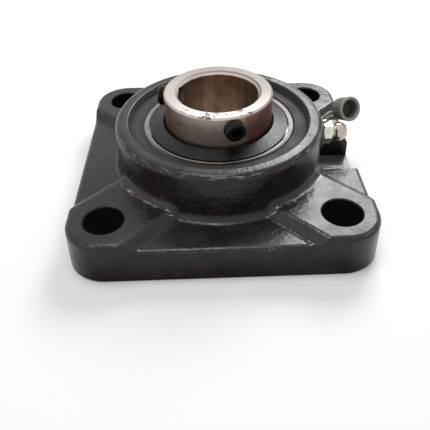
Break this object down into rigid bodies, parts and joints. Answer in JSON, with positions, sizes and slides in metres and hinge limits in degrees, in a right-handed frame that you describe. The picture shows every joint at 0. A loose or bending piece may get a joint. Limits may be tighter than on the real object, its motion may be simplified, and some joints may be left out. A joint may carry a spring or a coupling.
{
  "type": "four-bolt square flange bearing unit",
  "caption": "Square cast flange housing with bolt ears, a swivelling ball bearing insert locked by set screws, and a side grease nipple with a tethered cap.",
  "frame": {"origin": "on the bore axis at the mounting face, which is also the centre of the bolt holes", "axes": "+Z along the bore axis, away from the mounting face; +X towards the grease nipple; -Y towards the front panel"},
  "size_m": [0.0956, 0.094, 0.0358],
  "materials": {
    "cast_black": "glossy black paint over rough cast iron",
    "ring_steel": "ground steel with a brownish tint",
    "ball_steel": "polished",
    "sheet_steel": "satin",
    "seal_rubber": "matte",
    "slinger_black": "satin black",
    "screw_black": "black oxide",
    "zinc": "bright zinc plate",
    "cap_grey": "satin grey"
  },
  "bodies": {
    "housing": {"housing": "cast_black", "nipple_body": "zinc", "nipple_spring": "sheet_steel", "nipple_cap": "cap_grey"},
    "insert": {"outer_ring": "ring_steel", "seal_plate_upper": "sheet_steel", "seal_plate_lower": "sheet_steel", "seal_lip_upper": "seal_rubber", "seal_lip_lower": "seal_rubber"},
    "inner": {"inner_ring": "ring_steel", "slinger_upper": "slinger_black", "slinger_lower": "slinger_black"},
    "cage": {"cage_upper": "sheet_steel", "cage_lower": "sheet_steel", "cage_rivets": "sheet_steel", "ball_1": "ball_steel", "ball_2": "ball_steel", "ball_3": "ball_steel", "ball_4": "ball_steel", "ball_5": "ball_steel", "ball_6": "ball_steel", "ball_7": "ball_steel", "ball_8": "ball_steel", "ball_9": "ball_steel"},
    "screw_front": {"set_screw_front": "screw_black"},
    "screw_left": {"set_screw_left": "screw_black"},
    "check_ball": {"nipple_ball": "ball_steel"}
  },
  "joints": [
    {"name": "align_tilt", "type": "hinge", "parent": "housing", "child": "insert", "pos_m": [0, 0, 0.016], "axis": [1, 0, 0], "range_deg": [-2, 2]},
    {"name": "inner_spin", "type": "hinge", "parent": "insert", "child": "inner", "pos_m": [0, 0, 0.016], "axis": [0, 0, 1], "continuous": true},
    {"name": "cage_spin", "type": "hinge", "parent": "insert", "child": "cage", "pos_m": [0, 0, 0.016], "axis": [0, 0, 1], "continuous": true},
    {"name": "screw_front_feed", "type": "slide", "parent": "inner", "child": "screw_front", "axis": [0.2419, -0.9703, 0], "range_m": [-0.0006, 0.002]},
    {"name": "screw_left_feed", "type": "slide", "parent": "inner", "child": "screw_left", "axis": [-0.9613, 0.2756, 0], "range_m": [-0.0006, 0.002]},
    {"name": "check_ball_push", "type": "slide", "parent": "housing", "child": "check_ball", "axis": [1, 0, 0], "range_m": [-0.0008, 0], "stiffness_N_per_m": 200, "springref_m": 0.002, "deforming": ["nipple_spring"]}
  ],
  "couplings": [
    {"joint": "cage_spin", "follows": "inner_spin", "ratio": 0.39823}
  ]
}
